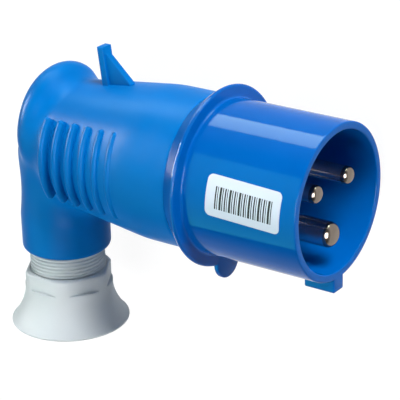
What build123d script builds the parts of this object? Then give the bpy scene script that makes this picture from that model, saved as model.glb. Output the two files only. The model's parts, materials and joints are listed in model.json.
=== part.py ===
"""Angled industrial plug, three pins, with a cable gland at a right angle.

Millimetres. The origin is on the shroud's axis at the front face of its
flange. +X points out of the shroud's mouth, the way the pins point. The
lid hook is on the +Y side and the cable leaves towards -Y. +Z is the side
that the label is on, and the plug lies on its -Z side.
"""
from build123d import *
import math
import os

os.makedirs("parts", exist_ok=True)

# Shroud and flange
shroud_outer_r = 21.75
shroud_wall = 2.15
shroud_length = 35.66
mouth_round = 0.7
flange_r = 25.4
flange_rim = 0.9
flange_depth = 5.6
flange_back_r = 22.2
flange_edge_round = 0.7
flange_root_round = 0.8

# Key under the shroud's mouth
key_length = 9.5
key_width = 4.8
key_height = 3.85
key_round = 0.7

# Lug under the flange
lug_r = 5.2
lug_drop = 25.0
lug_thickness = 1.5

# Wall inside the shroud that the pins come through
base_setback = 2.0
base_thickness = 4.0

# Skirt that goes into the housing
skirt_length = 4.4
skirt_wall = 2.0
fit_gap = 0.1
joint_gap = 0.05

# Pins: line and neutral on one circle, earth a little further out
phase_circle_r = 9.15
earth_circle_r = 9.8
pin_r = 2.5
earth_pin_r = 3.5
pin_short_of_mouth = 0.9
pin_tip_round = 1.2
pin_collar_step = 0.6
barrel_wall = 2.1
wire_hole_r = 1.9
earth_wire_hole_r = 2.4
barrel_length = 15.0
wire_hole_depth = 11.0

# Terminal screws
terminal_screw_r = 1.75
terminal_screw_from_rear = 5.5
terminal_screw_reach = 0.8
terminal_head_r = 2.8
terminal_head_height = 1.8
screw_slot_width = 0.8
screw_slot_depth = 0.9

# Block round the terminals, and its cover
carrier_flange_thickness = 4.0
carrier_core_r = 8.5
carrier_pod_wall = 1.5
cover_thickness = 2.5
cover_wire_gap = 0.7
carrier_screw_r = 1.7
carrier_screw_bite = 2.8
carrier_head_r = 3.2
carrier_head_height = 2.0

# Two screws that join shroud and housing
housing_screw_circle_r = 14.0
housing_screw_angle = 120.0
housing_screw_r = 1.6
housing_screw_bite = 8.0
housing_head_r = 2.9
housing_head_height = 1.8
boss_wall = 1.7
boss_depth = 10.0

# Seal between shroud and housing
joint_seal_width = 1.5
joint_seal_thickness = 1.0
joint_seal_from_flange = 1.4

# Housing's straight and tapered tube
housing_r = 22.0
housing_wall = 2.5
housing_straight = 14.4
shoulder_blend_r = 40.0
tube_end_x = -50.0
tube_end_r = 18.35
tube_cap_x = -57.5
tube_cap_round = 8.5

# Neck that the cable leaves by
neck_x = -58.25
neck_r = 13.1
neck_bottom_y = -33.9
neck_waist_depth = 0.55
neck_waist_y = -13.0
neck_waist_half = 10.0
neck_top_height = 6.0
neck_wall = 2.0
neck_edge_round = 1.5

# Domed disc at the back
dome_x = -58.2
dome_y = 5.38
dome_rim_r = 12.43
dome_round = 4.95
dome_crown = 2.6
dome_tilt = 7.2
blend_r = 3.0

# Grip ribs, the same on both sides
rib_count = 6
rib_first_x = -49.15
rib_pitch = 4.83
rib_width = 2.2
rib_below_housing = 0.1
rib_slope = 0.04
rib_foot_r = 17.0
rib_top_angle = 35.5
rib_bottom_angle = -31.5

# Lid hook
hook_top_y = 30.5
hook_back_x = -42.0
hook_thickness = 2.1
hook_lean = 1.5
hook_width = 4.0
hook_web_width = 2.3
hook_web_top_y = 29.0
hook_web_front_x = -31.3
hook_web_front_lift = 0.35
hook_root_depth = 0.85

# Threaded sleeve of the gland
sleeve_r = 11.15
sleeve_bottom_y = -44.6
sleeve_top_y = -22.2
sleeve_bore_r = 8.8
sleeve_ledge_y = -30.0
sleeve_ledge_r = 7.6
sleeve_chamfer = 0.5
gasket_thickness = 1.2
gasket_bore_r = 8.4

# Rubber bush and washer in the sleeve
cable_hole_r = 6.5
seal_length = 7.0
washer_thickness = 0.8
washer_hole_r = 6.9

# Clamp ring
nut_pitch = 1.1
nut_turns = 5
ring_flange_thickness = 1.5
ring_travel_gap = 0.3
ring_hole_r = 7.0
ring_side_gap = 0.25

# Gland nut
nut_top_y = -40.6
nut_running_gap = 0.1
nut_band_r = 13.05
nut_flat_r = 12.05
nut_flat_end_y = -45.3
nut_ledge_thickness = 1.6
nut_throat_r = 8.0
nut_flare_start_y = -46.6
nut_flare_hold = 4.0
nut_flare_pull = 2.05
nut_flare_angle = 51.0
nut_rim_y = -57.6
nut_rim_r = 17.6
nut_lip = 0.7
nut_lip_round = 0.3
nut_mouth_r = 16.2
nut_top_chamfer = 0.35

# Label
label_start_x = 8.0
label_length = 23.0
label_height = 11.4
label_angle = 9.5
label_turn = -2.0
label_round = 1.5
label_thickness = 0.12


# How near an edge must be to a place to be picked by it
pick_margin = 0.01

half_turn = 180
quarter_turn = 90

# Sizes worked out from the ones above
shroud_inner_r = shroud_outer_r - shroud_wall
base_front_x = -base_setback
base_rear_x = base_front_x - base_thickness
flange_back_x = -flange_depth
skirt_end_x = flange_back_x - skirt_length
housing_bore_r = housing_r - housing_wall
skirt_r = housing_bore_r - fit_gap
skirt_bore_r = skirt_r - skirt_wall
barrel_rear_x = base_rear_x - barrel_length
cover_rear_x = barrel_rear_x - cover_thickness
pin_tip_x = shroud_length - pin_short_of_mouth
terminal_screw_x = barrel_rear_x + terminal_screw_from_rear
boss_front_x = skirt_end_x - joint_gap
boss_r = housing_screw_r + boss_wall
seal_groove_x = flange_back_x - joint_seal_from_flange
tube_slope = (housing_r - tube_end_r) / (flange_back_x - housing_straight - tube_end_x)
straight_end_x = flange_back_x - housing_straight
nut_travel = nut_pitch * nut_turns
seal_bottom_y = sleeve_ledge_y - seal_length
washer_bottom_y = seal_bottom_y - washer_thickness
ring_flange_top_y = sleeve_bottom_y - ring_travel_gap - nut_travel
ring_flange_bottom_y = ring_flange_top_y - ring_flange_thickness
ring_spigot_top_y = washer_bottom_y - ring_travel_gap - nut_travel
nut_ledge_y = ring_flange_bottom_y - joint_gap
nut_ledge_bottom_y = nut_ledge_y - nut_ledge_thickness
nut_bore_r = sleeve_r + nut_running_gap
tube_cap_r = tube_end_r - (tube_end_x - tube_cap_x) * tube_slope
rib_top_r = housing_r - rib_below_housing
hook_foot_y = tube_end_r - hook_root_depth
hook_web_front_y = tube_end_r + (hook_web_front_x - tube_end_x) * tube_slope + hook_web_front_lift
crown_centre = (dome_rim_r**2 - dome_crown**2) / (2 * dome_crown)
crown_turn = math.atan2(dome_rim_r, crown_centre)
label_chord = 2 * shroud_outer_r * math.sin(label_height / (2 * shroud_outer_r))
neck_axis = Axis((neck_x, 0, 0), (0, 1, 0))

# The pins stand a third of a turn apart, earth at the bottom, by the key.
phase_turn = math.radians(60)
line_place = (phase_circle_r * math.cos(phase_turn), -phase_circle_r * math.sin(phase_turn))
neutral_place = (line_place[0], -line_place[1])
earth_place = (-earth_circle_r, 0.0)
barrel_r = wire_hole_r + barrel_wall
earth_barrel_r = earth_wire_hole_r + barrel_wall
contacts = {
    "line": (line_place, pin_r, barrel_r, wire_hole_r),
    "neutral": (neutral_place, pin_r, barrel_r, wire_hole_r),
    "earth": (earth_place, earth_pin_r, earth_barrel_r, earth_wire_hole_r),
}
housing_screw_places = [
    (
        housing_screw_circle_r * math.cos(math.radians(side * housing_screw_angle)),
        housing_screw_circle_r * math.sin(math.radians(side * housing_screw_angle)),
    )
    for side in (1, -1)
]


def across(x):
    """Plane across the shroud's axis at x: sketch x is +Y, sketch y is +Z."""
    return Plane(origin=(x, 0, 0), x_dir=(0, 1, 0), z_dir=(1, 0, 0))


def across_neck(y):
    """Plane across the neck's axis at height y: sketch x is +X, and it faces -Y."""
    return Plane(origin=(neck_x, y, 0), x_dir=(1, 0, 0), z_dir=(0, -1, 0))


def outward(x, place):
    """Plane at a contact, with its normal pointing away from the shroud's axis."""
    reach = math.hypot(place[0], place[1])
    return Plane(
        origin=(x, place[0], place[1]),
        x_dir=(1, 0, 0),
        z_dir=(0, place[0] / reach, place[1] / reach),
    )


# Front shroud: collar, flange, base wall and skirt are turned in one profile.
with BuildPart() as front_shroud:
    with BuildSketch(Plane.XY):
        with BuildLine():
            Polyline(
                (base_rear_x, 0),
                (base_front_x, 0),
                (base_front_x, shroud_inner_r),
                (shroud_length, shroud_inner_r),
                (shroud_length, shroud_outer_r),
                (0, shroud_outer_r),
                (0, flange_r),
                (-flange_rim, flange_r),
                (flange_back_x, flange_back_r),
                (flange_back_x, skirt_r),
                (skirt_end_x, skirt_r),
                (skirt_end_x, skirt_bore_r),
                (base_rear_x, skirt_bore_r),
                close=True,
            )
        make_face()
    revolve(axis=Axis.X)
    mouth_edges = front_shroud.edges().filter_by(GeomType.CIRCLE).group_by(Axis.X)[-1]
    fillet(mouth_edges, mouth_round)
    front_face_edges = front_shroud.edges().filter_by(GeomType.CIRCLE).filter_by(
        lambda edge: abs(edge.center().X) < pick_margin
    )
    fillet(front_face_edges.sort_by(SortBy.RADIUS)[-1], flange_edge_round)
    fillet(front_face_edges.sort_by(SortBy.RADIUS)[0], flange_root_round)

    # Key
    key_block_height = key_height + shroud_wall / 2
    with BuildSketch(across(shroud_length - key_length)):
        with Locations((-shroud_outer_r - key_height + key_block_height / 2, 0)):
            RectangleRounded(key_block_height, key_width, key_round)
    extrude(amount=key_length)

    # Lug
    with BuildSketch(across(0)):
        with Locations((-lug_drop, 0)):
            Circle(lug_r)
        Circle(shroud_outer_r, mode=Mode.SUBTRACT)
    extrude(amount=-lug_thickness)

    # Pin holes, screw holes and the blind hole for the carrier screw
    for place, radius, _, _ in contacts.values():
        with BuildSketch(across(base_rear_x)):
            with Locations(place):
                Circle(radius + pin_collar_step + fit_gap)
        extrude(amount=base_thickness, mode=Mode.SUBTRACT)
    with BuildSketch(across(base_rear_x)):
        with Locations(*housing_screw_places):
            Circle(housing_screw_r + fit_gap)
    extrude(amount=base_thickness, mode=Mode.SUBTRACT)
    with BuildSketch(across(base_front_x)):
        with Locations(*housing_screw_places):
            Circle(housing_head_r + fit_gap)
    extrude(amount=-housing_head_height, mode=Mode.SUBTRACT)
    with BuildSketch(across(base_rear_x)):
        Circle(carrier_screw_r + joint_gap)
    extrude(amount=carrier_screw_bite + fit_gap, mode=Mode.SUBTRACT)

    # Groove for the joint seal
    with BuildSketch(across(seal_groove_x)):
        Circle(skirt_r + fit_gap)
        Circle(skirt_r - joint_seal_thickness, mode=Mode.SUBTRACT)
    extrude(amount=-joint_seal_width - 2 * joint_gap, mode=Mode.SUBTRACT)
front_shroud.part.label = "front_shroud"
export_step(front_shroud.part, "parts/front_shroud.step")


# Grip ribs: each is a round-topped bar bent round the shroud's axis, with a round
# end at each end. Their tops rise a little towards the flange, less than the tube.
def rib_outward(angle):
    """Direction out from the shroud's axis, with the angle measured from +Z towards +Y."""
    turn = math.radians(angle)
    return Vector(0, math.sin(turn), math.cos(turn))


def rib_plane(angle):
    """Plane through the shroud's axis: sketch x is +X, sketch y is outward."""
    out = rib_outward(angle)
    return Plane(origin=(0, 0, 0), x_dir=(1, 0, 0), z_dir=(0, -out.Z, out.Y))


def half_rib(side, top_r):
    """Outline of one half of the rib's cross-section."""
    edge = side * rib_width / 2
    middle = rib_width / 2 * math.sin(math.radians(quarter_turn / 2))
    crest_r = top_r - rib_width / 2
    Line((0, rib_foot_r), (edge, rib_foot_r))
    Line((edge, rib_foot_r), (edge, crest_r))
    ThreePointArc((edge, crest_r), (side * middle, crest_r + middle), (0, top_r))


def grip_rib(top_r):
    """The rib on the +Z side, made at x = 0."""
    with BuildPart() as rib:
        with BuildSketch(rib_plane(rib_top_angle)):
            with BuildLine():
                half_rib(1, top_r)
                half_rib(-1, top_r)
            make_face()
        revolve(axis=Axis.X, revolution_arc=rib_top_angle - rib_bottom_angle)
        for angle, way in ((rib_top_angle, 1), (rib_bottom_angle, -1)):
            with BuildSketch(rib_plane(angle)):
                with BuildLine():
                    half_rib(1, top_r)
                    Line((0, top_r), (0, rib_foot_r))
                make_face()
            revolve(axis=Axis((0, 0, 0), rib_outward(angle) * way), revolution_arc=half_turn)
    return rib.part


# Elbow housing: outer forms first, then their blends, ribs and hook, then the inside.
dome_turn = math.radians(dome_tilt)
dome_plane = Plane(
    origin=(dome_x, dome_y, 0),
    x_dir=(math.cos(dome_turn), -math.sin(dome_turn), 0),
    z_dir=(0, 0, 1),
)
dome_axis = Axis((dome_x, dome_y, 0), (math.cos(dome_turn), -math.sin(dome_turn), 0))


def tube_profile(shrink, front_x):
    """Half outline of the housing's tube, shrunk all round for its inside."""
    Polyline(
        (tube_cap_x + shrink, 0),
        (front_x, 0),
        (front_x, housing_r - shrink),
        (straight_end_x, housing_r - shrink),
        (tube_cap_x + shrink, tube_cap_r - shrink),
        close=True,
    )


def dome_profile(shrink):
    """Half outline of the domed disc: two crowned faces, tangent to a round rim."""
    half = dome_round - shrink
    crown_r = half + math.hypot(crown_centre, dome_rim_r)

    def face(share):
        turn = share * crown_turn
        return (crown_r * math.cos(turn) - crown_centre, crown_r * math.sin(turn))

    def back(share):
        return (-face(share)[0], face(share)[1])

    Line(back(0), face(0))
    ThreePointArc(face(0), face(0.5), face(1))
    ThreePointArc(face(1), (0, dome_rim_r + half), back(1))
    ThreePointArc(back(1), back(0.5), back(0))


neck_shoulder_y = neck_waist_y + neck_waist_half


def neck_profile():
    """Half outline of the neck, with its slight waist and a low round top."""
    waist_low = neck_waist_y - neck_waist_half
    edge_x = neck_x + neck_r
    Polyline(
        (neck_x, neck_shoulder_y + neck_top_height),
        (neck_x, neck_bottom_y),
        (edge_x, neck_bottom_y),
        (edge_x, waist_low),
    )
    Bezier(
        (edge_x, waist_low),
        (edge_x - 2 * neck_waist_depth, neck_waist_y),
        (edge_x, neck_shoulder_y),
    )
    EllipticalCenterArc(
        (neck_x, neck_shoulder_y), neck_r, neck_top_height, start_angle=0, arc_size=quarter_turn
    )


with BuildPart() as elbow_housing:
    with BuildSketch(Plane.XY) as tube_half:
        with BuildLine():
            tube_profile(0, flange_back_x)
        make_face()
        cap_corner = tube_half.vertices().group_by(Axis.X)[0].sort_by(Axis.Y)[-1]
        fillet(cap_corner, tube_cap_round)
        shoulder = tube_half.vertices().sort_by(Axis.Y)[-2:].sort_by(Axis.X)[0]
        fillet(shoulder, shoulder_blend_r)
    revolve(axis=Axis.X)
    with BuildSketch(Plane.XY):
        with BuildLine():
            neck_profile()
        make_face()
    revolve(axis=neck_axis)
    with BuildSketch(dome_plane):
        with BuildLine():
            dome_profile(0)
        make_face()
    revolve(axis=dome_axis)
    meeting_edges = elbow_housing.edges().filter_by(
        lambda edge: edge.geom_type not in (GeomType.CIRCLE, GeomType.LINE, GeomType.ELLIPSE)
    )
    fillet(meeting_edges, blend_r)
    neck_edge = elbow_housing.edges().filter_by(GeomType.CIRCLE).sort_by(Axis.Y)[0]
    fillet(neck_edge, neck_edge_round)

    # Ribs
    for number in range(rib_count):
        rib = grip_rib(rib_top_r - rib_slope * rib_pitch * (rib_count - 1 - number))
        with Locations((rib_first_x + rib_pitch * number, 0, 0)):
            add(rib)
            add(rib.mirror(Plane.XY))

    # Wiring room: the tube, the dome and the way down the neck
    with BuildSketch(Plane.XY) as room_half:
        with BuildLine():
            tube_profile(housing_wall, flange_back_x)
        make_face()
        room_corner = room_half.vertices().group_by(Axis.X)[0].sort_by(Axis.Y)[-1]
        fillet(room_corner, tube_cap_round - housing_wall)
    revolve(axis=Axis.X, mode=Mode.SUBTRACT)
    with BuildSketch(dome_plane):
        with BuildLine():
            dome_profile(housing_wall)
        make_face()
    revolve(axis=dome_axis, mode=Mode.SUBTRACT)
    neck_bore_r = neck_r - neck_waist_depth - neck_wall
    with BuildSketch(Plane.XY):
        with BuildLine():
            EllipticalCenterArc(
                (neck_x, neck_shoulder_y),
                neck_bore_r,
                neck_top_height - housing_wall,
                start_angle=0,
                arc_size=quarter_turn,
            )
            Polyline(
                (neck_x, neck_shoulder_y + neck_top_height - housing_wall),
                (neck_x, neck_bottom_y),
                (neck_x + neck_bore_r, neck_bottom_y),
                (neck_x + neck_bore_r, neck_shoulder_y),
            )
        make_face()
    revolve(axis=neck_axis, mode=Mode.SUBTRACT)
    with BuildSketch(across_neck(neck_bottom_y)):
        Circle(sleeve_r + joint_gap)
    extrude(amount=neck_bottom_y - sleeve_top_y - gasket_thickness, mode=Mode.SUBTRACT)

    # Screw bosses inside, each on a web from the wall
    for place in housing_screw_places:
        boss_plane = Plane(
            origin=(boss_front_x, place[0], place[1]),
            x_dir=(0, place[0] / housing_screw_circle_r, place[1] / housing_screw_circle_r),
            z_dir=(-1, 0, 0),
        )
        web_length = housing_bore_r + housing_wall / 2 - housing_screw_circle_r
        with BuildSketch(boss_plane):
            Circle(boss_r)
            with Locations((web_length / 2, 0)):
                Rectangle(web_length, 2 * boss_r)
            Circle(housing_screw_r + joint_gap, mode=Mode.SUBTRACT)
        extrude(amount=boss_depth)

    # Lid hook: a leaning plate with a web in front of it
    hook_slope = hook_lean / (hook_top_y - tube_end_r)
    hook_foot_x = hook_back_x + hook_slope * (hook_top_y - hook_foot_y)
    with BuildSketch(Plane.XY):
        Polygon(
            (hook_back_x, hook_top_y),
            (hook_foot_x, hook_foot_y),
            (hook_foot_x + hook_thickness, hook_foot_y),
            (hook_back_x + hook_thickness, hook_top_y),
            align=None,
        )
    extrude(amount=hook_width / 2, both=True)
    with BuildSketch(Plane.XY):
        Polygon(
            (hook_back_x + hook_thickness / 2, hook_web_top_y),
            (hook_foot_x, hook_foot_y),
            (hook_web_front_x, hook_foot_y),
            (hook_web_front_x, hook_web_front_y),
            (hook_back_x + hook_thickness, hook_web_top_y),
            align=None,
        )
    extrude(amount=hook_web_width / 2, both=True)
elbow_housing.part.label = "elbow_housing"
export_step(elbow_housing.part, "parts/elbow_housing.step")


# Pins, each with a collar in the base wall and a hollow terminal behind it
for name, (place, radius, barrel, hole) in contacts.items():
    pin_axis = Axis((0, place[0], place[1]), (1, 0, 0))
    pin_plane = Plane(origin=(0, place[0], place[1]), x_dir=(1, 0, 0), z_dir=(0, 0, 1))
    collar_r = radius + pin_collar_step
    with BuildPart() as pin:
        with BuildSketch(pin_plane) as pin_half:
            with BuildLine():
                Polyline(
                    (barrel_rear_x, 0),
                    (barrel_rear_x, barrel),
                    (base_rear_x, barrel),
                    (base_rear_x, collar_r),
                    (base_front_x, collar_r),
                    (base_front_x, radius),
                    (pin_tip_x, radius),
                    (pin_tip_x, 0),
                    close=True,
                )
            make_face()
            tip_corner = pin_half.vertices().group_by(Axis.X)[-1].sort_by(Axis.Y)[-1]
            fillet(tip_corner, pin_tip_round)
        revolve(axis=pin_axis)
        with BuildSketch(across(barrel_rear_x)):
            with Locations(place):
                Circle(hole)
        extrude(amount=wire_hole_depth, mode=Mode.SUBTRACT)
        with BuildSketch(outward(terminal_screw_x, place)):
            Circle(terminal_screw_r + joint_gap)
        extrude(amount=barrel + fit_gap, mode=Mode.SUBTRACT)
    pin.part.label = f"{name}_pin"
    export_step(pin.part, f"parts/{name}_pin.step")

    # Its screw, with a slotted head just clear of the terminal
    with BuildPart() as terminal_screw:
        with BuildSketch(outward(terminal_screw_x, place).offset(terminal_screw_reach)):
            Circle(terminal_screw_r)
        extrude(amount=barrel + joint_gap - terminal_screw_reach)
        head_plane = outward(terminal_screw_x, place).offset(barrel + joint_gap)
        with BuildSketch(head_plane):
            Circle(terminal_head_r)
        extrude(amount=terminal_head_height)
        with BuildSketch(head_plane.offset(terminal_head_height)):
            Rectangle(2 * terminal_head_r + fit_gap, screw_slot_width)
        extrude(amount=-screw_slot_depth, mode=Mode.SUBTRACT)
    terminal_screw.part.label = f"{name}_terminal_screw"
    export_step(terminal_screw.part, f"parts/{name}_terminal_screw.step")


# Contact carrier: a flange in the skirt, and a pod round each terminal
with BuildPart() as contact_carrier:
    with BuildSketch(across(base_rear_x)):
        Circle(skirt_bore_r - fit_gap)
    extrude(amount=-carrier_flange_thickness)
    with BuildSketch(across(base_rear_x)):
        Circle(carrier_core_r)
        for place, _, barrel, _ in contacts.values():
            with Locations(place):
                Circle(barrel + carrier_pod_wall)
    extrude(amount=-barrel_length)
    for place, _, barrel, _ in contacts.values():
        with BuildSketch(across(base_rear_x)):
            with Locations(place):
                Circle(barrel + joint_gap)
        extrude(amount=-barrel_length, mode=Mode.SUBTRACT)
        with BuildSketch(outward(terminal_screw_x, place)):
            Circle(terminal_head_r + fit_gap)
        extrude(amount=barrel + carrier_pod_wall + fit_gap, mode=Mode.SUBTRACT)
    with BuildSketch(across(base_rear_x)):
        Circle(carrier_screw_r + fit_gap)
        with Locations(*housing_screw_places):
            Circle(housing_screw_r + fit_gap)
    extrude(amount=-barrel_length, mode=Mode.SUBTRACT)
contact_carrier.part.label = "contact_carrier"
export_step(contact_carrier.part, "parts/contact_carrier.step")


# Carrier cover: shuts the pods, with a hole for each wire
with BuildPart() as carrier_cover:
    with BuildSketch(across(barrel_rear_x)):
        Circle(carrier_core_r)
        for place, _, barrel, _ in contacts.values():
            with Locations(place):
                Circle(barrel + carrier_pod_wall)
        for place, _, _, hole in contacts.values():
            with Locations(place):
                Circle(hole + cover_wire_gap, mode=Mode.SUBTRACT)
        Circle(carrier_screw_r + fit_gap, mode=Mode.SUBTRACT)
    extrude(amount=-cover_thickness)
carrier_cover.part.label = "carrier_cover"
export_step(carrier_cover.part, "parts/carrier_cover.step")


# Carrier screw: from the cover through to the base wall
with BuildPart() as carrier_screw:
    with BuildSketch(across(cover_rear_x)):
        Circle(carrier_screw_r)
    extrude(amount=base_rear_x + carrier_screw_bite - cover_rear_x)
    with BuildSketch(across(cover_rear_x)):
        Circle(carrier_head_r)
    extrude(amount=-carrier_head_height)
    with BuildSketch(across(cover_rear_x - carrier_head_height)):
        Rectangle(screw_slot_width, 2 * carrier_head_r + fit_gap)
    extrude(amount=screw_slot_depth, mode=Mode.SUBTRACT)
carrier_screw.part.label = "carrier_screw"
export_step(carrier_screw.part, "parts/carrier_screw.step")


# Housing screws: from inside the shroud into the bosses
head_seat_x = base_front_x - housing_head_height
for name, place in zip(("near", "far"), housing_screw_places):
    with BuildPart() as housing_screw:
        with BuildSketch(across(head_seat_x)):
            with Locations(place):
                Circle(housing_head_r)
        extrude(amount=housing_head_height)
        with BuildSketch(across(base_front_x)):
            with Locations(place):
                Rectangle(screw_slot_width, 2 * housing_head_r + fit_gap)
                Rectangle(2 * housing_head_r + fit_gap, screw_slot_width)
        extrude(amount=-screw_slot_depth, mode=Mode.SUBTRACT)
        with BuildSketch(across(head_seat_x)):
            with Locations(place):
                Circle(housing_screw_r)
        extrude(amount=boss_front_x - housing_screw_bite - head_seat_x)
    housing_screw.part.label = f"housing_screw_{name}"
    export_step(housing_screw.part, f"parts/housing_screw_{name}.step")


# Joint seal in the skirt's groove
with BuildPart() as joint_seal:
    with BuildSketch(across(seal_groove_x - joint_gap)):
        Circle(housing_bore_r - joint_gap)
        Circle(skirt_r - joint_seal_thickness + joint_gap, mode=Mode.SUBTRACT)
    extrude(amount=-joint_seal_width)
joint_seal.part.label = "joint_seal"
export_step(joint_seal.part, "parts/joint_seal.step")


# Gland sleeve: outside thread left plain, with a ledge inside for the bush
with BuildPart() as gland_sleeve:
    with BuildSketch(across_neck(sleeve_top_y)):
        Circle(sleeve_r)
        Circle(sleeve_ledge_r, mode=Mode.SUBTRACT)
    extrude(amount=sleeve_top_y - sleeve_bottom_y)
    with BuildSketch(across_neck(sleeve_ledge_y)):
        Circle(sleeve_bore_r)
    extrude(amount=sleeve_ledge_y - sleeve_bottom_y, mode=Mode.SUBTRACT)
    sleeve_end_edges = gland_sleeve.edges().filter_by(GeomType.CIRCLE).group_by(Axis.Y)[0]
    chamfer(sleeve_end_edges.sort_by(SortBy.RADIUS)[-1], sleeve_chamfer)
gland_sleeve.part.label = "gland_sleeve"
export_step(gland_sleeve.part, "parts/gland_sleeve.step")


def neck_ring(name, top_y, thickness, outer_r, hole_r):
    """Plain ring on the neck's axis, written as its own piece."""
    with BuildPart() as ring:
        with BuildSketch(across_neck(top_y)):
            Circle(outer_r)
            Circle(hole_r, mode=Mode.SUBTRACT)
        extrude(amount=thickness)
    ring.part.label = name
    export_step(ring.part, f"parts/{name}.step")


neck_ring(
    "sleeve_gasket", sleeve_top_y + gasket_thickness, gasket_thickness, sleeve_r, gasket_bore_r
)
neck_ring("cable_seal", sleeve_ledge_y, seal_length, sleeve_bore_r - joint_gap, cable_hole_r)
neck_ring(
    "seal_washer", seal_bottom_y, washer_thickness, sleeve_bore_r - fit_gap, washer_hole_r
)


# Clamp ring: a flange that the nut pushes, and a spigot that enters the sleeve
with BuildPart() as clamp_ring:
    with BuildSketch(across_neck(ring_flange_top_y)):
        Circle(nut_bore_r - ring_side_gap)
    extrude(amount=ring_flange_thickness)
    with BuildSketch(across_neck(ring_spigot_top_y)):
        Circle(sleeve_bore_r - ring_side_gap)
    extrude(amount=ring_spigot_top_y - ring_flange_top_y)
    with BuildSketch(across_neck(ring_spigot_top_y)):
        Circle(ring_hole_r)
    extrude(amount=ring_spigot_top_y - ring_flange_bottom_y, mode=Mode.SUBTRACT)
clamp_ring.part.label = "clamp_ring"
export_step(clamp_ring.part, "parts/clamp_ring.step")


# Gland nut: a hexagonal band above a flared mouth
def nut_point(radius, y):
    """Point of the nut's half outline, right of the neck's axis."""
    return (neck_x + radius, y)


flare_turn = math.radians(nut_flare_angle)
with BuildPart() as gland_nut:
    with BuildSketch(Plane.XY):
        with BuildLine():
            Polyline(
                nut_point(nut_throat_r, nut_ledge_bottom_y),
                nut_point(nut_throat_r, nut_ledge_y),
                nut_point(nut_bore_r, nut_ledge_y),
                nut_point(nut_bore_r, nut_top_y),
                nut_point(nut_band_r, nut_top_y),
                nut_point(nut_band_r, nut_flare_start_y),
            )
            Bezier(
                nut_point(nut_band_r, nut_flare_start_y),
                nut_point(nut_band_r, nut_flare_start_y - nut_flare_hold),
                nut_point(
                    nut_rim_r - nut_flare_pull * math.sin(flare_turn),
                    nut_rim_y + nut_lip + nut_flare_pull * math.cos(flare_turn),
                ),
                nut_point(nut_rim_r, nut_rim_y + nut_lip),
            )
            Polyline(
                nut_point(nut_rim_r, nut_rim_y + nut_lip),
                nut_point(nut_rim_r, nut_rim_y + nut_lip_round),
                nut_point(nut_rim_r - nut_lip_round, nut_rim_y),
                nut_point(nut_mouth_r, nut_rim_y),
            )
            Bezier(
                nut_point(nut_mouth_r, nut_rim_y),
                nut_point(nut_throat_r, nut_ledge_bottom_y - nut_flare_pull),
                nut_point(nut_throat_r, nut_ledge_bottom_y),
            )
        make_face()
    revolve(axis=neck_axis)
    with BuildSketch(across_neck(nut_top_y)):
        Circle(nut_rim_r)
        RegularPolygon(nut_flat_r, 6, major_radius=False, mode=Mode.SUBTRACT)
    extrude(amount=nut_top_y - nut_flat_end_y, mode=Mode.SUBTRACT)
    top_rim = gland_nut.faces().filter_by(Axis.Y).sort_by(Axis.Y)[-1]
    chamfer(top_rim.outer_wire().edges(), nut_top_chamfer)
gland_nut.part.label = "gland_nut"
export_step(gland_nut.part, "parts/gland_nut.step")


# Label: a thin sheet that follows the shroud
label_turn_up = math.radians(label_angle)
label_plane = Plane(
    origin=(label_start_x + label_length / 2, 0, 0),
    x_dir=(1, 0, 0),
    z_dir=(0, math.sin(label_turn_up), math.cos(label_turn_up)),
)
with BuildPart() as blank_label:
    with BuildSketch(across(0)):
        Circle(shroud_outer_r + label_thickness)
        Circle(shroud_outer_r, mode=Mode.SUBTRACT)
    extrude(amount=shroud_length)
    with BuildSketch(label_plane):
        with Locations(Location((0, 0, 0), (0, 0, label_turn))):
            RectangleRounded(label_length, label_chord, label_round)
    extrude(amount=2 * shroud_outer_r, mode=Mode.INTERSECT)
blank_label.part.label = "blank_label"
export_step(blank_label.part, "parts/blank_label.step")
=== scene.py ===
"""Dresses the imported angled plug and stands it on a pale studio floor.

All sizes are in metres. Angles are in degrees where they are set, and turned
into radians where Blender asks for them. The frame is the plug's own: +X out
of the shroud's mouth, +Y towards the lid hook, the plug lying on its -Z side.
"""
import json
import math

import bmesh
import bpy
from mathutils import Matrix, Vector

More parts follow.
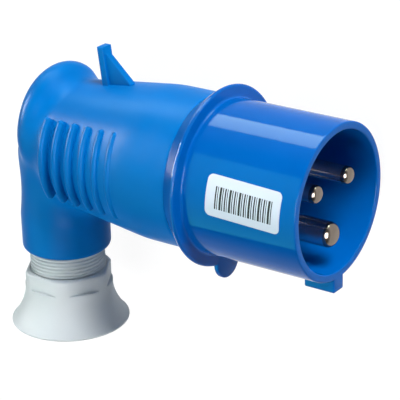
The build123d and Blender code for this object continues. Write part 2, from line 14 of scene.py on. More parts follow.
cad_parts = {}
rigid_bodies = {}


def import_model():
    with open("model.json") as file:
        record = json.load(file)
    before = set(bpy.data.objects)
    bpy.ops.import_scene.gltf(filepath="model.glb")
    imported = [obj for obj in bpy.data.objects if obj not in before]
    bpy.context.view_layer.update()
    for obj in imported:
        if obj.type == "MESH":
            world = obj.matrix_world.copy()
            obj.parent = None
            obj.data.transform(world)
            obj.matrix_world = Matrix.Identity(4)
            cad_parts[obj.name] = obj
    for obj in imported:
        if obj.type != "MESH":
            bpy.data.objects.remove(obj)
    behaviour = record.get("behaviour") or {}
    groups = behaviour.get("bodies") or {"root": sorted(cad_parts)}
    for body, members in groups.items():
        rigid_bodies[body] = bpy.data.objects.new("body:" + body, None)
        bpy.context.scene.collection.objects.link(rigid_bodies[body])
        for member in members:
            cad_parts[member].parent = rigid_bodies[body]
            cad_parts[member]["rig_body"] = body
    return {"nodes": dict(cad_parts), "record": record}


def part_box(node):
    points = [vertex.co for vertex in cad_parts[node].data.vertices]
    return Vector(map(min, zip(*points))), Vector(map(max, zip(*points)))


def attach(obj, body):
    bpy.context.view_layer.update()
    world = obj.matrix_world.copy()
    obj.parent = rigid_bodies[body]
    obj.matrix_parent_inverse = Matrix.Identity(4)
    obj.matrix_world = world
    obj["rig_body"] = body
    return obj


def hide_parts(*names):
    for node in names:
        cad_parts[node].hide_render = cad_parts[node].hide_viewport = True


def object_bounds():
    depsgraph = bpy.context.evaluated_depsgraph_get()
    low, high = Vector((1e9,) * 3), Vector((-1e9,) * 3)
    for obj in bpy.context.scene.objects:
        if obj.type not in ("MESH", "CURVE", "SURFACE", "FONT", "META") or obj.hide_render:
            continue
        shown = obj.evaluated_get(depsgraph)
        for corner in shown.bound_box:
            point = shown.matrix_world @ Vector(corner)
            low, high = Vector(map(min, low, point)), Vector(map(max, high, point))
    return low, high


bl_info = {
    "name": "Angled industrial plug",
    "version": (1, 0, 0),
    "blender": (4, 5, 0),
    "location": "3D View > Sidebar > Plug",
    "description": "Models and dresses an angled three-pin plug around its packed frame",
    "category": "Object",
}

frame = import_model()
cad_low, cad_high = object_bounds()
MM = 0.001

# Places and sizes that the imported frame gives
sleeve_low, sleeve_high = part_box("gland_sleeve")
neck_x = (sleeve_low.x + sleeve_high.x) / 2
floor_z = cad_low.z

# The floor as the camera sees it: its own glow over this share of its plain shade
floor_glow, floor_glow_share = 1.15, 0.8
lamp_middle, lamp_side = (-0.02, 0, 0), 0.5

# The label: its middle, how it is turned, and the bars printed on it
label_low, label_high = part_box("blank_label")
label_centre = ((label_low.x + label_high.x) / 2, 0, 0)
label_turn = (math.radians(-9.5), 0, math.radians(-2.0))
label_length, label_height, label_round = 23.0 * MM, 11.4 * MM, 1.5 * MM
label_thickness = 0.12 * MM
bar_group = 3.0 * MM
bar_edges = (0.1, 0.24, 0.34, 0.42, 0.56, 0.78, 0.86, 0.96)
bar_half_width = 8.9 * MM
bar_half_height = 3.1 * MM
bar_middle = -0.3 * MM

# The shroud, its flange, key, lug and holes
mouth_x, collar_inner_r, collar_outer_r = 35.66 * MM, 19.6 * MM, 21.75 * MM
base_front_x, base_rear_x = -2 * MM, -6 * MM
base_round, flange_foot_round, flange_edge_x = 0.5 * MM, 0.8 * MM, -0.9 * MM
flange_r, skirt_r, skirt_bore_r, groove_r = 25.4 * MM, 19.4 * MM, 17.4 * MM, 18.4 * MM
groove_front_x, groove_rear_x, skirt_rear_x = -7 * MM, -8.6 * MM, -10 * MM
key_length, key_width, key_height, key_buried = 9.5 * MM, 4.8 * MM, 3.85 * MM, 1.07 * MM
lug_r, lug_drop, lug_thickness = 5.2 * MM, 25 * MM, 1.5 * MM
pin_holes = (
    ((4.575 * MM, -7.9241 * MM), 3.2 * MM),
    ((4.575 * MM, 7.9241 * MM), 3.2 * MM),
    ((-9.8 * MM, 0), 4.2 * MM),
)
screw_circle_r, screw_turn, screw_recess = 14 * MM, math.radians(120), 1.8 * MM
screw_hole_r, screw_recess_r = 1.7 * MM, 3.0 * MM
middle_hole_r, middle_hole_depth = 1.75 * MM, 2.9 * MM
across_x = (0, math.pi / 2, 0)
label_chord = 2 * collar_outer_r * math.sin(label_height / (2 * collar_outer_r))

# The pins. The tip's dome and its flat middle are shares of the pin's radius
pin_r, earth_pin_r = 2.5 * MM, 3.5 * MM
pin_tip_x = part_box("line_pin")[1].x
pin_dome, pin_flat = 0.62, 0.30
behind_pins_x = -30 * MM
# Painted shade: the last stretch of each pin is a dark brown, far darker than worn brass, which
# dims the tips' reflections; the brown also stands for wear at the tips.
tip_wear_and_shade_length, tip_wear_and_shade_colour = 2.2 * MM, (0.21, 0.175, 0.145)

# The housing's main forms, and the way down its neck
tube_front_x, tube_shoulder_x = -5.6 * MM, -20 * MM
tube_front_r, tube_cap_x, tube_cap_round = 22 * MM, -57.5 * MM, 8.5 * MM
tube_slope = 0.12167
dome_centre = Vector((-58.2 * MM, 5.38 * MM, 0))
dome_tilt = math.radians(7.2)
dome_along = Vector((math.cos(dome_tilt), -math.sin(dome_tilt), 0))
dome_out = Vector((math.sin(dome_tilt), math.cos(dome_tilt), 0))
dome_rim_r, dome_round, dome_crown_depth = 12.43 * MM, 4.95 * MM, 2.6 * MM
dome_crown_back = (dome_rim_r**2 - dome_crown_depth**2) / (2 * dome_crown_depth)
dome_crown_turn = math.degrees(math.atan2(dome_rim_r, dome_crown_back))
neck_r, neck_waist = 13.1 * MM, 0.55 * MM
neck_low_y, neck_shoulder_y, neck_top = -33.9 * MM, -3 * MM, 6 * MM
waist_low_y, neck_round = -23 * MM, 1.5 * MM
neck_bore_r, sleeve_seat_r, sleeve_seat_y = 10.55 * MM, 11.2 * MM, -21 * MM
housing_wall = 2.5 * MM

# How far from a meeting of two forms the blend reaches: wide below, narrower further up
valley_reach, valley_reach_above = 8.0 * MM, 4.0 * MM
valley_narrows_y, valley_narrows_over = 2 * MM, 12 * MM
blend_front_x, blend_front_y, neck_counts_below_y = -38 * MM, -10 * MM, 3 * MM

# The lid hook and the web in front of it
hook_top_x, hook_top_y = -42 * MM, 30.5 * MM
hook_foot_x, hook_foot_y = -40.34 * MM, 17.5 * MM
web_rear_x, web_crest_x, web_top_y = -40.95 * MM, -39.9 * MM, 29 * MM
web_front_x, web_front_y = -31.3 * MM, 20.97 * MM


# Selecting and finishing

def deselect():
    bpy.ops.object.select_all(action="DESELECT")


def make_active(piece):
    deselect()
    piece.select_set(True)
    bpy.context.view_layer.objects.active = piece


def new_piece(name):
    """Names the primitive that was just added."""
    piece = bpy.context.active_object
    piece.name = name
    piece.data.name = name
    return piece


def in_place(piece):
    """Puts the piece's place, turn and scale into its mesh."""
    make_active(piece)
    bpy.ops.object.transform_apply(location=True, rotation=True, scale=True)


def edit(piece):
    make_active(piece)
    bpy.ops.object.mode_set(mode="EDIT")


def leave_edit():
    bpy.ops.object.mode_set(mode="OBJECT")


def drawn(name, outline, closed):
    """A line from point to point, made by extruding one vertex. Stays in edit mode."""
    deselect()
    bpy.ops.mesh.primitive_plane_add(size=MM, location=(0, 0, 0))
    piece = new_piece(name)
    edit(piece)
    bpy.ops.mesh.select_mode(type="VERT")
    bpy.ops.mesh.select_all(action="SELECT")
    bpy.ops.mesh.merge(type="CENTER")
    bpy.ops.transform.translate(value=outline[0])
    for start, end in zip(outline, outline[1:]):
        step = Vector(end) - Vector(start)
        bpy.ops.mesh.extrude_region_move(TRANSFORM_OT_translate={"value": step})
    if closed:
        bpy.ops.mesh.select_all(action="DESELECT")
        mesh = bmesh.from_edit_mesh(piece.data)
        ends = Vector(outline[0]), Vector(outline[-1])
        for vertex in mesh.verts:
            if min((vertex.co - end).length for end in ends) < MM / 1000:
                vertex.select_set(True)
        bmesh.update_edit_mesh(piece.data)
        bpy.ops.mesh.edge_face_add()
    bpy.ops.mesh.select_all(action="SELECT")
    return piece


def spun(piece, centre, axis, steps, angle=2 * math.pi):
    """In edit mode, turns all of the piece about an axis and closes the result."""
    bpy.ops.mesh.spin(steps=steps, angle=angle, center=centre, axis=axis)
    bpy.ops.mesh.select_all(action="SELECT")
    bpy.ops.mesh.remove_doubles(threshold=MM / 1000)
    bpy.ops.mesh.normals_make_consistent(inside=False)
    leave_edit()
    return piece


def turned(name, outline, centre, axis, steps, closed=True):
    """An outline turned all round an axis as on a lathe.

    A closed outline makes a ring. An open one starts and ends on the axis.
    """
    return spun(drawn(name, outline, closed), centre, axis, steps)


def with_tool(piece, tool, operation):
    """Joins the piece with another or cuts it, and deletes that other."""
    change = piece.modifiers.new("change", "BOOLEAN")
    change.operation = operation
    change.solver = "MANIFOLD"
    change.object = tool
    make_active(piece)
    bpy.ops.object.modifier_apply(modifier=change.name)
    make_active(tool)
    bpy.ops.object.delete()
    return piece


def fused(first, *others):
    """Makes one closed form of several that overlap."""
    for other in others:
        with_tool(first, other, "UNION")
    return first


def rod(name, centre, radius, length, turn=(0, 0, 0), vertices=48):
    """Round bar for cutting or joining."""
    deselect()
    bpy.ops.mesh.primitive_cylinder_add(
        vertices=vertices, radius=radius, depth=length, location=centre, rotation=turn
    )
    piece = new_piece(name)
    in_place(piece)
    return piece


def smooth(piece, angle=35):
    make_active(piece)
    bpy.ops.object.shade_smooth_by_angle(angle=math.radians(angle))


def finish_piece(piece, body, slot, material, *nodes):
    """Gives a modelled piece its finish and body, and hides what it stands for."""
    piece.data.materials.clear()
    piece.data.materials.append(material)
    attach(piece, body)
    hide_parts(*nodes)


def smooth_copy(node, name):
    """Merged, smoothly shaded copy of a CAD node, as a piece of its own."""
    deselect()
    piece = frame["nodes"][node].copy()
    piece.data = piece.data.copy()
    bpy.context.scene.collection.objects.link(piece)
    for key in list(piece.keys()):
        if key.startswith("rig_"):
            del piece[key]
    piece.parent = None
    piece.hide_render = False
    piece.hide_viewport = False
    piece.name = name
    piece.data.name = name
    edit(piece)
    bpy.ops.mesh.select_all(action="SELECT")
    bpy.ops.mesh.remove_doubles(threshold=MM / 2000)
    leave_edit()
    smooth(piece)
    return piece


# Outlines and forms made from them

def arc(centre, radius, start, end, steps):
    """Points along an arc, its angles in degrees."""
    points = []
    for step in range(steps + 1):
        turn = math.radians(start + (end - start) * step / steps)
        points.append(
            (centre[0] + radius * math.cos(turn), centre[1] + radius * math.sin(turn))
        )
    return points


def bend(start, corner, end, steps):
    """Points along a smooth bend that heads for a corner and then away from it."""
    points = []
    for step in range(steps + 1):
        share = step / steps
        near, middle, far = (1 - share) ** 2, 2 * share * (1 - share), share**2
        points.append(tuple(
            near * a + middle * b + far * c for a, b, c in zip(start, corner, end)
        ))
    return points


def softened(corners):
    """Outline whose corners are (x, y, softness), each bent instead of sharp."""
    outline = []
    for number, (x, y, softness) in enumerate(corners):
        corner = Vector((x, y))
        if softness == 0:
            outline.append((x, y))
            continue
        before = (Vector(corners[number - 1][:2]) - corner).normalized()
        after = (Vector(corners[number + 1][:2]) - corner).normalized()
        outline += bend(corner + before * softness, corner, corner + after * softness, 5)
    return outline


def joined(first, *others):
    """Makes one piece of several."""
    make_active(first)
    for other in others:
        other.select_set(True)
    bpy.ops.object.join()
    return first


def flat_shape(name, corners, width, edge):
    """A flat outline in the XY plane, given a width along Z and soft edges."""
    piece = drawn(name, [(x, y, -width / 2) for x, y in corners], True)
    bpy.ops.mesh.edge_face_add()
    bpy.ops.mesh.extrude_region_move(TRANSFORM_OT_translate={"value": (0, 0, width)})
    bpy.ops.mesh.select_all(action="SELECT")
    bpy.ops.mesh.normals_make_consistent(inside=False)
    if edge:
        bpy.ops.mesh.bevel(offset=edge, segments=3, profile=0.5)
    leave_edit()
    return piece


def along_x(outline):
    return [(x, radius, 0) for x, radius in outline]


def about_neck(outline):
    return [(neck_x + radius, y, 0) for radius, y in outline]


def about_dome(outline):
    return [dome_centre + dome_along * x + dome_out * radius for x, radius in outline]


# Materials

def blank_material(name):
    material = bpy.data.materials.new(name)
    material.use_nodes = True
    nodes = material.node_tree.nodes
    shader = nodes["Principled BSDF"]
    place = nodes.new("ShaderNodeTexCoord")
    return material, nodes, material.node_tree.links, shader, place.outputs["Object"]


def maths(nodes, links, operation, first, second):
    """One sum on a value; the second may be a number or another value."""
    node = nodes.new("ShaderNodeMath")
    node.operation = operation
    links.new(first, node.inputs[0])
    if isinstance(second, (int, float)):
        node.inputs[1].default_value = second
    else:
        links.new(second, node.inputs[1])
    return node.outputs["Value"]


def noise(nodes, links, place, scale, detail=3.0, roughness=0.5):
    texture = nodes.new("ShaderNodeTexNoise")
    texture.inputs["Scale"].default_value = scale
    texture.inputs["Detail"].default_value = detail
    texture.inputs["Roughness"].default_value = roughness
    links.new(place, texture.inputs["Vector"])
    return texture.outputs["Fac"]


def spread(nodes, links, value, low, high):
    """Maps a noise value to a range of numbers."""
    spreader = nodes.new("ShaderNodeMapRange")
    spreader.inputs["From Min"].default_value = 0.3
    spreader.inputs["From Max"].default_value = 0.7
    spreader.inputs["To Min"].default_value = low
    spreader.inputs["To Max"].default_value = high
    links.new(value, spreader.inputs["Value"])
    return spreader.outputs["Result"]


def blend_colours(nodes, links, amount, first, second):
    mixer = nodes.new("ShaderNodeMix")
    mixer.data_type = "RGBA"
    mixer.inputs["A"].default_value = (*first, 1)
    mixer.inputs["B"].default_value = (*second, 1)
    links.new(amount, mixer.inputs["Factor"])
    return mixer.outputs["Result"]


def bump(nodes, links, shader, height, distance, strength):
    bumper = nodes.new("ShaderNodeBump")
    bumper.inputs["Distance"].default_value = distance
    bumper.inputs["Strength"].default_value = strength
    links.new(height, bumper.inputs["Height"])
    links.new(bumper.outputs["Normal"], shader.inputs["Normal"])


def moulded_plastic(name, colour, roughness, grain, grain_depth, specular):
    """Moulded plastic: slight change of shade, uneven gloss and a fine grain."""
    material, nodes, links, shader, place = blank_material(name)
    darker = [channel * 0.93 for channel in colour]
    shade = spread(nodes, links, noise(nodes, links, place, 55), 0, 1)
    links.new(blend_colours(nodes, links, shade, colour, darker), shader.inputs["Base Color"])
    gloss = noise(nodes, links, place, 240, 4)
    links.new(
        spread(nodes, links, gloss, roughness * 0.85, roughness * 1.2),
        shader.inputs["Roughness"],
    )
    bump(nodes, links, shader, noise(nodes, links, place, grain, 2), grain_depth, 0.5)
    shader.inputs["Specular IOR Level"].default_value = specular
    return material


def plated_metal(name, colour, roughness, ring_scale):
    """Bright plating on turned metal, with faint rings from the lathe, and painted shade with
    wear: a dark brown near the pins' tips.
    """
    material, nodes, links, shader, place = blank_material(name)
    shader.inputs["Metallic"].default_value = 1.0
    duller = [channel * 0.86 for channel in colour]
    shade = spread(nodes, links, noise(nodes, links, place, 300), 0, 1)
    plating = blend_colours(nodes, links, shade, colour, duller)
    parts = nodes.new("ShaderNodeSeparateXYZ")
    links.new(place, parts.inputs["Vector"])
    # Painted shade and wear: from here to the tip the plating gives way to the dark brown of the
    # tips.
    at_tip = maths(nodes, links, "GREATER_THAN", parts.outputs["X"], pin_tip_x - tip_wear_and_shade_length)
    tip_wear_and_shade = nodes.new("ShaderNodeMix")
    tip_wear_and_shade.data_type = "RGBA"
    links.new(at_tip, tip_wear_and_shade.inputs["Factor"])
    links.new(plating, tip_wear_and_shade.inputs["A"])
    tip_wear_and_shade.inputs["B"].default_value = (*tip_wear_and_shade_colour, 1)
    links.new(tip_wear_and_shade.outputs["Result"], shader.inputs["Base Color"])
    rings = nodes.new("ShaderNodeTexWave")
    rings.wave_type = "BANDS"
    rings.bands_direction = "X"
    rings.inputs["Scale"].default_value = ring_scale
    rings.inputs["Distortion"].default_value = 1.5
    links.new(place, rings.inputs["Vector"])
    links.new(
        spread(nodes, links, noise(nodes, links, place, 900), roughness, roughness * 1.6),
        shader.inputs["Roughness"],
    )
    bump(nodes, links, shader, rings.outputs["Fac"], 0.000004, 0.4)
    return material


def rubber(name):
    material, nodes, links, shader, place = blank_material(name)
    shade = spread(nodes, links, noise(nodes, links, place, 700), 0, 1)
    links.new(
        blend_colours(nodes, links, shade, (0.018, 0.018, 0.019), (0.032, 0.032, 0.033)),
        shader.inputs["Base Color"],
    )
    links.new(
        spread(nodes, links, noise(nodes, links, place, 1500), 0.6, 0.8),
        shader.inputs["Roughness"],
    )
    bump(nodes, links, shader, noise(nodes, links, place, 2500), 0.00003, 0.6)
    return material


def barred_label(name):
    """White film printed with a plain row of bars, the same few over and over."""
    material, nodes, links, shader, place = blank_material(name)
    turner = nodes.new("ShaderNodeMapping")
    turner.vector_type = "TEXTURE"
    turner.inputs["Location"].default_value = label_centre
    turner.inputs["Rotation"].default_value = label_turn
    links.new(place, turner.inputs["Vector"])
    parts = nodes.new("ShaderNodeSeparateXYZ")
    links.new(turner.outputs["Vector"], parts.inputs["Vector"])
    steps = maths(nodes, links, "DIVIDE", parts.outputs["X"], bar_group)
    within = maths(nodes, links, "FRACT", steps, 0)
    ramp = nodes.new("ShaderNodeValToRGB")
    ramp.color_ramp.interpolation = "CONSTANT"
    stops = ramp.color_ramp.elements
    stops[0].position, stops[0].color = 0.0, (1, 1, 1, 1)
    stops[1].position, stops[1].color = bar_edges[0], (0, 0, 0, 1)
    for number, edge in enumerate(bar_edges[1:]):
        shade = 1 if number % 2 == 0 else 0
        stop = stops.new(edge)
        stop.color = (shade, shade, shade, 1)
    links.new(within, ramp.inputs["Fac"])
    wide = maths(nodes, links, "ABSOLUTE", parts.outputs["X"], 0)
    outside_x = maths(nodes, links, "GREATER_THAN", wide, bar_half_width)
    centred = maths(nodes, links, "SUBTRACT", parts.outputs["Y"], bar_middle)
    tall = maths(nodes, links, "ABSOLUTE", centred, 0)
    outside_y = maths(nodes, links, "GREATER_THAN", tall, bar_half_height)
    outside = maths(nodes, links, "MAXIMUM", outside_x, outside_y)
    paper = maths(nodes, links, "MAXIMUM", outside, ramp.outputs["Color"])
    tone = blend_colours(nodes, links, paper, (0.03, 0.03, 0.035), (0.54, 0.60, 0.69))
    links.new(tone, shader.inputs["Base Color"])
    gloss = noise(nodes, links, place, 300, 3)
    links.new(spread(nodes, links, gloss, 0.4, 0.5), shader.inputs["Roughness"])
    shader.inputs["Specular IOR Level"].default_value = 0.05
    bump(nodes, links, shader, noise(nodes, links, place, 150, 2), 0.00001, 0.3)
    return material


materials = {}


def make_materials(colours):
    materials["gloss_blue"] = moulded_plastic(
        "gloss_blue_plastic", colours.shell_blue, 0.08, 900, 0.000003, 0.07
    )
    materials["satin_blue"] = moulded_plastic(
        "satin_blue_plastic", colours.housing_blue, 0.33, 3200, 0.000015, 0.02
    )
    materials["pale_grey"] = moulded_plastic(
        "pale_grey_plastic", colours.gland_grey, 0.5, 2600, 0.000015, 0.03
    )
    materials["dark_moulding"] = moulded_plastic(
        "dark_plastic", (0.02, 0.02, 0.022), 0.5, 2400, 0.00002, 0.5
    )
    materials["nickel"] = plated_metal("nickel_plate", colours.pin_nickel, 0.14, 420)
    materials["zinc_steel"] = plated_metal("zinc_steel", (0.55, 0.56, 0.58), 0.3, 700)
    materials["black_rubber"] = rubber("black_rubber")
    materials["label_white"] = barred_label("label_film")


# Sizes and colours that a user would change

class PlugGlandSizes(bpy.types.PropertyGroup):
    """Sizes of the gland's thread and nut."""
    thread_pitch: bpy.props.FloatProperty(
        name="Thread pitch", description="Distance between two thread ridges",
        default=1.1 * MM, unit="LENGTH", precision=5,
    )
    thread_depth: bpy.props.FloatProperty(
        name="Thread depth", description="Height of a thread ridge above its root",
        default=0.55 * MM, unit="LENGTH", precision=5,
    )
    nut_edge: bpy.props.FloatProperty(
        name="Nut edge", description="Rounding of the gland nut's edges",
        default=0.22 * MM, unit="LENGTH", precision=5,
    )


class PlugShroudSizes(bpy.types.PropertyGroup):
    """Softness of the shroud's edges."""
    mouth_round: bpy.props.FloatProperty(
        name="Mouth edges", description="Rounding of the rim round the mouth",
        default=0.45 * MM, unit="LENGTH", precision=5,
    )
    flange_round: bpy.props.FloatProperty(
        name="Flange edge", description="Rounding of the flange's front edge",
        default=0.7 * MM, unit="LENGTH", precision=5,
    )
    key_round: bpy.props.FloatProperty(
        name="Key edges", description="Rounding of the key's edges",
        default=0.5 * MM, unit="LENGTH", precision=5,
    )
    edge: bpy.props.FloatProperty(
        name="Other edges", description="Rounding of the other edges",
        default=0.3 * MM, unit="LENGTH", precision=5,
    )


class PlugHousingSizes(bpy.types.PropertyGroup):
    """Sizes of the elbow housing's ribs, hook and blends."""
    rib_count: bpy.props.IntProperty(
        name="Ribs", description="Number of grip ribs on each side", default=6, min=1,
    )
    rib_first_x: bpy.props.FloatProperty(
        name="First rib", description="Place of the rearmost rib along the plug",
        default=-49.15 * MM, unit="LENGTH",
    )
    rib_pitch: bpy.props.FloatProperty(
        name="Rib pitch", description="Distance from one rib to the next",
        default=4.83 * MM, unit="LENGTH",
    )
    rib_width: bpy.props.FloatProperty(
        name="Rib width", description="Width of a rib", default=2.2 * MM, unit="LENGTH",
    )
    rib_top_r: bpy.props.FloatProperty(
        name="Rib top radius", description="Radius of the foremost rib's top",
        default=21.9 * MM, unit="LENGTH",
    )
    rib_slope: bpy.props.FloatProperty(
        name="Rib slope", description="How much the ribs' tops rise towards the flange",
        default=0.04,
    )
    rib_top_angle: bpy.props.FloatProperty(
        name="Rib top end", description="Angle of the ribs' upper ends, in degrees",
        default=35.5,
    )
    rib_bottom_angle: bpy.props.FloatProperty(
        name="Rib bottom end", description="Angle of the ribs' lower ends, in degrees",
        default=-31.5,
    )
    hook_thickness: bpy.props.FloatProperty(
        name="Hook thickness", description="Thickness of the hook's plate",
        default=2.1 * MM, unit="LENGTH",
    )
    hook_width: bpy.props.FloatProperty(
        name="Hook width", description="Width of the hook's plate",
        default=4.0 * MM, unit="LENGTH",
    )
    hook_web_width: bpy.props.FloatProperty(
        name="Hook web", description="Width of the web in front of the plate",
        default=2.3 * MM, unit="LENGTH",
    )
    hook_edge: bpy.props.FloatProperty(
        name="Hook edges", description="Softness of the hook's edges",
        default=0.22 * MM, unit="LENGTH",
    )
    voxel: bpy.props.FloatProperty(
        name="Skin grain", description="Size of the faces that the blends are made from",
        default=0.5 * MM, unit="LENGTH", precision=5,
    )
    blend_rounds: bpy.props.IntProperty(
        name="Blend", description="How far the blends between the forms are smoothed",
        default=300, min=0,
    )


class PlugColours(bpy.types.PropertyGroup):
    """Colours of the mouldings and the pins."""
    shell_blue: bpy.props.FloatVectorProperty(
        name="Shroud blue", description="Glossy blue of the shroud and flange",
        default=(0.0, 0.090, 0.365), subtype="COLOR", min=0, max=1,
    )
    housing_blue: bpy.props.FloatVectorProperty(
        name="Housing blue", description="Satin blue of the elbow housing",
        default=(0.0, 0.129, 0.419), subtype="COLOR", min=0, max=1,
    )
    gland_grey: bpy.props.FloatVectorProperty(
        name="Gland grey", description="Pale grey of the gland's sleeve and nut",
        default=(0.60, 0.65, 0.67), subtype="COLOR", min=0, max=1,
    )
    pin_nickel: bpy.props.FloatVectorProperty(
        name="Pin nickel", description="Nickel plating of the pins",
        default=(0.52, 0.52, 0.54), subtype="COLOR", min=0, max=1,
    )


class PlugStageSettings(bpy.types.PropertyGroup):
    """Camera, and powers of the lamps that give the shades."""
    focal_length: bpy.props.FloatProperty(
        name="Focal length", description="Camera's focal length on a 36 mm sensor",
        default=167.84,
    )
    camera_place: bpy.props.FloatVectorProperty(
        name="Camera place", description="Where the camera stands",
        default=(0.2701, 0.1883, 0.3873), subtype="TRANSLATION", unit="LENGTH",
    )
    key_power: bpy.props.FloatProperty(
        name="Key lamp", description="Power of the lamp at the upper left, in watts",
        default=3.35,
    )
    top_power: bpy.props.FloatProperty(
        name="Top lamp", description="Power of the lamp above the mouth, in watts",
        default=20.0,
    )
    front_power: bpy.props.FloatProperty(
        name="Front lamp", description="Power of the lamp beside the camera, in watts",
        default=1.4,
    )
    low_left_power: bpy.props.FloatProperty(
        name="Low left lamp", description="Power of the low lamp at the left, in watts",
        default=1.1,
    )
    low_front_power: bpy.props.FloatProperty(
        name="Low front lamp", description="Power of the low lamp at the front, in watts",
        default=6.2,
    )
    ambient: bpy.props.FloatProperty(
        name="Ambient", description="How strongly the room itself lights the plug",
        default=0.0,
    )


# Operators, one for each piece or group of like pieces

class PLUG_OT_stage(bpy.types.Operator):
    """Sets up the floor, the world, the lamps and the camera"""
    bl_idname = "plug.stage"
    bl_label = "Stage"

    def execute(self, context):
        settings = context.scene.plug_stage
        self.floor()
        self.world(context, settings)
        self.lamps(settings)
        self.camera(context, settings)
        context.scene.view_settings.view_transform = "Standard"
        return {"FINISHED"}

    def floor(self):
        """White where the camera or a reflection sees it, and pale where light falls."""
        deselect()
        bpy.ops.mesh.primitive_plane_add(size=6.0, location=(0, 0, floor_z))
        piece = new_piece("floor")
        material = bpy.data.materials.new("studio_floor")
        material.use_nodes = True
        nodes, links = material.node_tree.nodes, material.node_tree.links
        shader = nodes["Principled BSDF"]
        shader.inputs["Base Color"].default_value = (0.7, 0.7, 0.7, 1)
        shader.inputs["Roughness"].default_value = 0.9
        shader.inputs["Specular IOR Level"].default_value = 0.0
        glow = nodes.new("ShaderNodeEmission")
        glow.inputs["Strength"].default_value = floor_glow
        rays = nodes.new("ShaderNodeLightPath").outputs
        seen = maths(nodes, links, "MAXIMUM", rays["Is Camera Ray"], rays["Is Glossy Ray"])
        seen = maths(nodes, links, "MAXIMUM", seen, rays["Is Transmission Ray"])
        mixer = nodes.new("ShaderNodeMixShader")
        links.new(
            maths(nodes, links, "MULTIPLY", seen, floor_glow_share), mixer.inputs["Fac"]
        )
        links.new(shader.outputs["BSDF"], mixer.inputs[1])
        links.new(glow.outputs["Emission"], mixer.inputs[2])
        links.new(mixer.outputs["Shader"], nodes["Material Output"].inputs["Surface"])
        piece.data.materials.append(material)

    def world(self, context, settings):
        """Pale all round the horizon and dim overhead, and dimmer as light than as seen."""
        world = bpy.data.worlds.new("studio")
        world.use_nodes = True
        nodes, links = world.node_tree.nodes, world.node_tree.links
        place = nodes.new("ShaderNodeTexCoord")
        parts = nodes.new("ShaderNodeSeparateXYZ")
        links.new(place.outputs["Generated"], parts.inputs["Vector"])
        ramp = nodes.new("ShaderNodeValToRGB")
        ramp.color_ramp.elements[0].position = 0.10
        ramp.color_ramp.elements[0].color = (1, 1, 1, 1)
        ramp.color_ramp.elements[1].position = 0.42
        ramp.color_ramp.elements[1].color = (0.08, 0.08, 0.08, 1)
        links.new(parts.outputs["Z"], ramp.inputs["Fac"])
        path = nodes.new("ShaderNodeLightPath")
        lit = nodes.new("ShaderNodeMapRange")
        lit.inputs["To Min"].default_value = 1.0
        lit.inputs["To Max"].default_value = settings.ambient
        links.new(path.outputs["Is Diffuse Ray"], lit.inputs["Value"])
        background = nodes["Background"]
        links.new(ramp.outputs["Color"], background.inputs["Color"])
        links.new(lit.outputs["Result"], background.inputs["Strength"])
        context.scene.world = world

    def lamp(self, name, place, width, height, power, diffuse=True, glossy=True):
        """A lamp that faces the plug."""
        deselect()
        bpy.ops.object.light_add(type="AREA", location=place)
        lamp = bpy.context.active_object
        lamp.name = name
        lamp.data.shape = "RECTANGLE"
        lamp.data.size = width
        lamp.data.size_y = height
        lamp.data.energy = power
        lamp.rotation_mode = "QUATERNION"
        lamp.rotation_quaternion = (
            Vector(lamp_middle) - Vector(place)
        ).to_track_quat("-Z", "X")
        lamp.visible_camera = False
        lamp.visible_diffuse = diffuse
        lamp.visible_glossy = glossy
        return lamp

    def lamps(self, settings):
        """Soft lamps for the shades, and others that only make reflections."""
        for name, place, power in (
            ("key_lamp", (-0.55, 0.45, 0.7), settings.key_power),
            ("top_lamp", (0.5, 0.9, 0.15), settings.top_power),
            ("front_lamp", (0.15, 0.1, 1.1), settings.front_power),
            ("low_left_lamp", (-0.6, -0.35, 0.6), settings.low_left_power),
            ("low_front_lamp", (0.1, -0.6, 0.8), settings.low_front_power),
        ):
            self.lamp(name, place, lamp_side, lamp_side, power, glossy=False)
        strip = self.lamp(
            "top_strip", (-0.03, 0.078, -0.006), 0.16, 0.03, 0.29, diffuse=False
        )
        strip.data.color = (0.75, 1.0, 0.85)
        strip.rotation_mode = "XYZ"
        strip.rotation_euler = (math.radians(-90), 0, 0)
        panel = self.lamp(
            "front_panel", (-0.486, -0.066, 0.754), 1.0, 1.8, 42, diffuse=False
        )
        panel.data.color = (0.1, 1.0, 0.7)
        self.lamp("mouth_panel", (0.5, 0.1, 0.8), 0.6, 0.6, 36, diffuse=False)
        self.lamp("left_panel", (-0.8, 0.25, 0.35), 0.12, 0.5, 50, diffuse=False)

    def camera(self, context, settings):
        deselect()
        bpy.ops.object.camera_add(location=settings.camera_place)
        camera = context.active_object
        camera.name = "photo_camera"
        back = Vector((0.5407, 0.382, 0.7494)).normalized()
        level_right = Vector((0, 1, 0)).cross(back).normalized()
        level_up = back.cross(level_right)
        roll = math.radians(-1.49)
        right = level_right * math.cos(roll) + level_up * math.sin(roll)
        up = level_up * math.cos(roll) - level_right * math.sin(roll)
        camera.matrix_world = Matrix.Translation(settings.camera_place) @ Matrix(
            (right, up, back)
        ).transposed().to_4x4()
        camera.data.sensor_width = 36
        camera.data.lens = settings.focal_length
        camera.data.clip_start = 0.01
        camera.data.clip_end = 20
        context.scene.camera = camera


